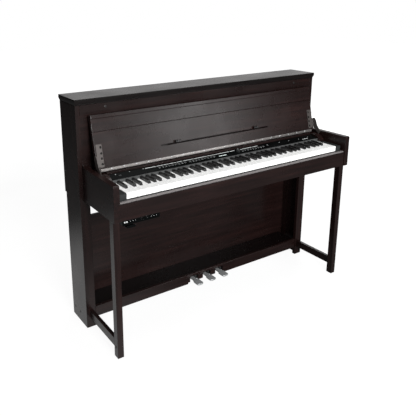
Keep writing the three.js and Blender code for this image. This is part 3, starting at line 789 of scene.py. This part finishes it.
def dress_knob():
    """A turned volume knob with a fluted grip, a raised top and a pale pointer."""
    low, high = PANEL_FACE + 0.6 * MM, PANEL_FACE + KNOB_HEIGHT
    x, y = KNOB_PLACE
    outline = []
    for i in range(KNOB_FLUTES * 2):
        radius = KNOB_RADIUS if i % 2 else KNOB_RADIUS - 0.7 * MM
        angle = math.pi * i / KNOB_FLUTES
        outline.append((x + radius * math.cos(angle), y + radius * math.sin(angle)))
    bm = bmesh.new()
    add_prism(bm, outline, "z", low, high - 1 * MM)
    soften(bm, 0.25 * MM, 1)
    add_cylinder(bm, (x, y, high - 0.6 * MM), (0, 0, 1), 9.6 * MM, 1.2 * MM, 40, top_radius=9 * MM)
    add_cylinder(bm, (x, y, low - 2 * MM), (0, 0, 1), 3 * MM, 6 * MM, 24)
    finished_piece("volume_knob_finished", bm, "grey_plastic", "volume_knob", ["volume_knob"], PANEL_FRAME)
    pointer = bmesh.new()
    add_block(pointer, (x - 0.6 * MM, y + 3 * MM, high - 0.2 * MM),
              (x + 0.6 * MM, y + 8.6 * MM, high + 0.1 * MM))
    finished_piece("volume_knob_pointer", pointer, "printed_mark", "volume_knob", place=PANEL_FRAME)


def dress_marks():
    """Printed marks: a long broken rule, a line under each button, a dot at each lamp, a plain bar."""
    bm = bmesh.new()
    low, high = PANEL_FACE - 0.1 * MM, PANEL_FACE + 0.12 * MM
    for start, stop in zip(RULE_STOPS, RULE_STOPS[1:]):
        if not start < KNOB_PLACE[0] / MM < stop:
            add_block(bm, ((start + 1.5) * MM, RULE_LOW, low), ((stop - 1.5) * MM, RULE_HIGH, high))
    add_block(bm, (*PLAIN_BAR[0], low), (*PLAIN_BAR[1], high))
    for start in BUTTON_STARTS:
        for i in range(BUTTON_COUNT):
            x = start + i * BUTTON_PITCH
            add_block(bm, (x - 4 * MM, -6.4 * MM, low), (x + 4 * MM, -5.8 * MM, high))
    for x, y in LAMPS:
        add_cylinder(bm, (x * MM, y * MM, PANEL_FACE), (0, 0, 1), 1.6 * MM, 0.5 * MM, 16)
    finished_piece("panel_marks", bm, "printed_mark", "cabinet", place=PANEL_FRAME)


# ---------------------------------------------------------------- pedals, sockets and the rest

SOCKET_Z = 617 * MM
# Where the socket box has its sockets and its printed squares and dots, in millimetres.
SOCKET_X = (-545, -520)
SQUARE_X = (-624, -614)
DOT_X = (-598, -586, -574, -500, -488, -476)
BLADES = ((-7, -2), (0, 3), (7, -2))
GUARD_RADII = (46.8, 36, 25, 14, 5)
SCREW_CAP_RADIUS, SCREW_CAP_HEIGHT = 6.5 * MM, 1 * MM
LEG_CAP_Z, SIDE_CAP_Z = 51 * MM, 48 * MM
SIDE_CAP_INSETS = (27 * MM, 85 * MM)             # from the lower side board's rear edge
RAIL_CAP_X, RAIL_CAP_Z = 559 * MM, 1039 * MM
BACK_SCREW_MARGIN, BACK_SCREW_COLUMNS = 12 * MM, 9


def dress_pedals():
    for node in ("soft_pedal", "sostenuto_pedal", "damper_pedal"):
        rounded(node, "pedal_metal", 3 * MM, 5)
    rounded("pedal_box", "grey_plastic", 0.8 * MM)


def dress_jack_box():
    """The socket box, with a black collar round each socket and plain printed squares and dots."""
    rounded("jack_box", "panel_black", 0.7 * MM)
    low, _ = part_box("jack_box")
    collars = bmesh.new()
    for x in SOCKET_X:
        add_ring(collars, (x * MM, low.y, SOCKET_Z), (0, 1, 0), 4.2 * MM, 0.7 * MM)
    finished_piece("socket_collars", collars, "black_key", "cabinet")
    marks = bmesh.new()
    for x in SQUARE_X:
        add_block(marks, ((x - 3) * MM, low.y - 0.2 * MM, SOCKET_Z - 3 * MM),
                  ((x + 3) * MM, low.y + 0.2 * MM, SOCKET_Z + 3 * MM))
    for x in DOT_X:
        add_cylinder(marks, (x * MM, low.y, SOCKET_Z), (0, 1, 0), 1.2 * MM, 0.5 * MM, 12)
    finished_piece("socket_marks", marks, "printed_mark", "cabinet")


def dress_inlet():
    """The mains inlet's recess with its three blades."""
    rounded("power_inlet", "panel_black", 0.6 * MM)
    low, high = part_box("power_inlet")
    middle = (low + high) / 2
    bm = bmesh.new()
    for dx, dz in BLADES:
        x, z = middle.x + dx * MM, middle.z + dz * MM
        add_block(bm, (x - 1 * MM, high.y - 17.6 * MM, z - 2 * MM),
                  (x + 1 * MM, high.y - 4 * MM, z + 2 * MM))
    soften(bm, 0.3 * MM, 2)
    finished_piece("inlet_blades", bm, "pedal_metal", "cabinet")


def dress_speakers():
    """The two drivers, and the wire guards under them in the key bed's holes."""
    bed_low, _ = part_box("key_bed")
    for name, _ in SIDES:
        node = f"{name}_speaker"
        low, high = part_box(node)
        x = (low.x + high.x) / 2
        y = (low.y + high.y) / 2
        rounded(node, "speaker_cone", 0.3 * MM, 1)
        bm = bmesh.new()
        guard_z = bed_low.z + 2 * MM
        for radius in GUARD_RADII:
            add_ring(bm, (x, y, guard_z), (0, 0, 1), radius * MM, 0.9 * MM, 48)
        for third in range(3):
            angle = third * math.pi / 3
            direction = Vector((math.cos(angle), math.sin(angle), 0))
            length = 2 * (GUARD_RADII[0] - 0.3) * MM
            add_cylinder(bm, (x, y, guard_z + 1 * MM), direction, 0.9 * MM, length, 8)
        finished_piece(f"{name}_speaker_guard", bm, "frame_steel", "cabinet")
    rounded("main_circuit_board", "circuit_board", 0.1 * MM, 1)


def add_cap(bm, centre, axis):
    add_dome(bm, centre, axis, SCREW_CAP_RADIUS, SCREW_CAP_HEIGHT, 24)


def dress_caps_and_screws():
    """Plastic caps over the fixing screws, and the screws of the back panel."""
    bm = bmesh.new()
    for name, side in SIDES:
        outer = (side, 0, 0)
        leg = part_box(f"{name}_front_leg")
        leg_x = leg[0].x if side < 0 else leg[1].x
        middle_y = (leg[0].y + leg[1].y) / 2
        add_cap(bm, (leg_x, middle_y, LEG_CAP_Z), outer)
        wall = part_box(f"{name}_lower_side")
        wall_x = wall[0].x if side < 0 else wall[1].x
        for inset in SIDE_CAP_INSETS:
            add_cap(bm, (wall_x, wall[1].y - inset, SIDE_CAP_Z), outer)
    rail_low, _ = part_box("upper_front_rail")
    for _, side in SIDES:
        add_cap(bm, (side * RAIL_CAP_X, rail_low.y, RAIL_CAP_Z), (0, -1, 0))
    finished_piece("screw_caps", bm, "cap_brown", "cabinet")
    low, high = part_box("upper_back_panel")
    margin, last = BACK_SCREW_MARGIN, BACK_SCREW_COLUMNS - 1
    across = [low.x + margin + (high.x - low.x - 2 * margin) * i / last for i in range(last + 1)]
    up = [low.z + margin, (low.z + high.z) / 2, high.z - margin]
    places = [(x, high.y, z) for x in across for z in (up[0], up[2])]
    places += [(x, high.y, up[1]) for x in (across[0], across[-1])]
    screws("back_screws", "cabinet", "dark_screw", places, (0, 1, 0), 3.5 * MM, 1.2 * MM)


# ---------------------------------------------------------------- studio

# Each soft box as its place, its target, its width and height, and its power in watts.
SOFT_BOXES = {
    "overhead": ((0, -0.2, 3.2), (0, 0, 0.3), (2.6, 1.6), 35),
    "lid_glow": ((1.8, -2.8, 1.5), (0, 0, 0.95), (0.9, 1.2), 16),
    "behind": ((4.6, 5.0, 2.7), (0, 0, 0.9), (7.6, 3.2), 52),
    "far_side": ((3.6, 3.0, 0.5), (0, 0, 0.5), (2.4, 0.8), 60),
    "front": ((-0.85, -5.0, 2.1), (0, 0, 0.5), (2.0, 1.4), 330),
}
FLOOR_REACH = 14                          # metres from the middle to each edge
FADE_REACH = 4                            # the floor is fully white from here on
POOL_MIDDLE, POOL_REACH = (-1.1, 0.2, 0), 1.1
POOL_STRENGTH = 0.52

def area_light(name, place, target, size, power):
    """A soft box of a size in metres and a power in watts that faces the target."""
    data = bpy.data.lights.new(name, "AREA")
    data.shape = "RECTANGLE"
    data.size, data.size_y = size
    data.energy = power
    light = bpy.data.objects.new(name, data)
    light.location = place
    light.rotation_euler = (Vector(target) - Vector(place)).to_track_quat("-Z", "Y").to_euler()
    bpy.context.scene.collection.objects.link(light)


def strength_by_ray(tree, seen, hidden, reflected):
    """One strength for camera rays, one for reflections, and one (hidden) for all other rays."""
    path = tree.nodes.new("ShaderNodeLightPath")
    strength = None
    for output, change in (("Is Camera Ray", seen - hidden), ("Is Glossy Ray", reflected - hidden)):
        step = tree.nodes.new("ShaderNodeMath")
        step.operation = "MULTIPLY_ADD"
        step.inputs[1].default_value = change
        step.inputs[2].default_value = hidden
        tree.links.new(path.outputs[output], step.inputs[0])
        if strength is not None:
            tree.links.new(strength, step.inputs[2])
        strength = step.outputs[0]
    return strength


def near(finish, middle, reach, inside, outside):
    """A value that goes softly from inside to outside with the distance from a point."""
    away = finish.tree.nodes.new("ShaderNodeVectorMath")
    away.operation = "DISTANCE"
    finish.tree.links.new(finish.place, away.inputs[0])
    away.inputs[1].default_value = middle
    return finish.spread(away.outputs["Value"], inside, outside, start=reach * 0.55, end=reach)


def shown_to(finish, rays, value):
    """The value for one kind of ray, and zero for the rest."""
    shown = finish.tree.nodes.new("ShaderNodeMath")
    shown.operation = "MULTIPLY"
    finish.tree.links.new(value, shown.inputs[0])
    finish.tree.links.new(finish.node("LightPath").outputs[rays], shown.inputs[1])
    return shown.outputs[0]


def build_floor():
    """A pale floor that fades to white. Reflections alone see a soft pool of light on its left."""
    mesh = bpy.data.meshes.new("floor")
    bm = bmesh.new()
    bmesh.ops.create_grid(bm, x_segments=8, y_segments=8, size=FLOOR_REACH)
    bm.to_mesh(mesh)
    bm.free()
    floor = bpy.data.objects.new("floor", mesh)
    floor.location.z = -0.5 * MM
    finish = Finish("pale_floor", specular=0.1, emission_color=(1, 1, 1, 1))
    finish.colour(finish.ramp(finish.noise(0.5), (0.3, "#646464"), (0.7, "#6c6c6c")))
    finish.rough(finish.spread(finish.noise(0.3), 0.7, 0.8))
    seen = near(finish, middle=(0, 0, 0), reach=FADE_REACH, inside=0.9, outside=1)
    pool = near(finish, middle=POOL_MIDDLE, reach=POOL_REACH, inside=POOL_STRENGTH, outside=0)
    total = finish.tree.nodes.new("ShaderNodeMath")
    finish.tree.links.new(shown_to(finish, "Is Camera Ray", seen), total.inputs[0])
    finish.tree.links.new(shown_to(finish, "Is Glossy Ray", pool), total.inputs[1])
    finish.tree.links.new(total.outputs[0], finish.shader.inputs["Emission Strength"])
    mesh.materials.append(finish.material)
    bpy.context.scene.collection.objects.link(floor)


def build_surround():
    world = bpy.data.worlds.new("surround")
    world.use_nodes = True
    background = world.node_tree.nodes["Background"]
    background.inputs["Color"].default_value = (1, 1, 1, 1)
    strength = strength_by_ray(world.node_tree, seen=1, hidden=0.25, reflected=0.03)
    world.node_tree.links.new(strength, background.inputs["Strength"])
    bpy.context.scene.world = world


def build_studio():
    """A pale floor in a white surround, lit by soft boxes."""
    build_floor()
    build_surround()
    for name, settings in SOFT_BOXES.items():
        area_light(name, *settings)
    bpy.context.scene.view_settings.view_transform = "Standard"


build_camera()
dress_boards()
dress_keys()
dress_slip_felt_and_reflection()
dress_hinge()
dress_brackets()
dress_clips()
dress_panel()
dress_pedals()
dress_jack_box()
dress_inlet()
dress_speakers()
dress_caps_and_screws()
build_studio()
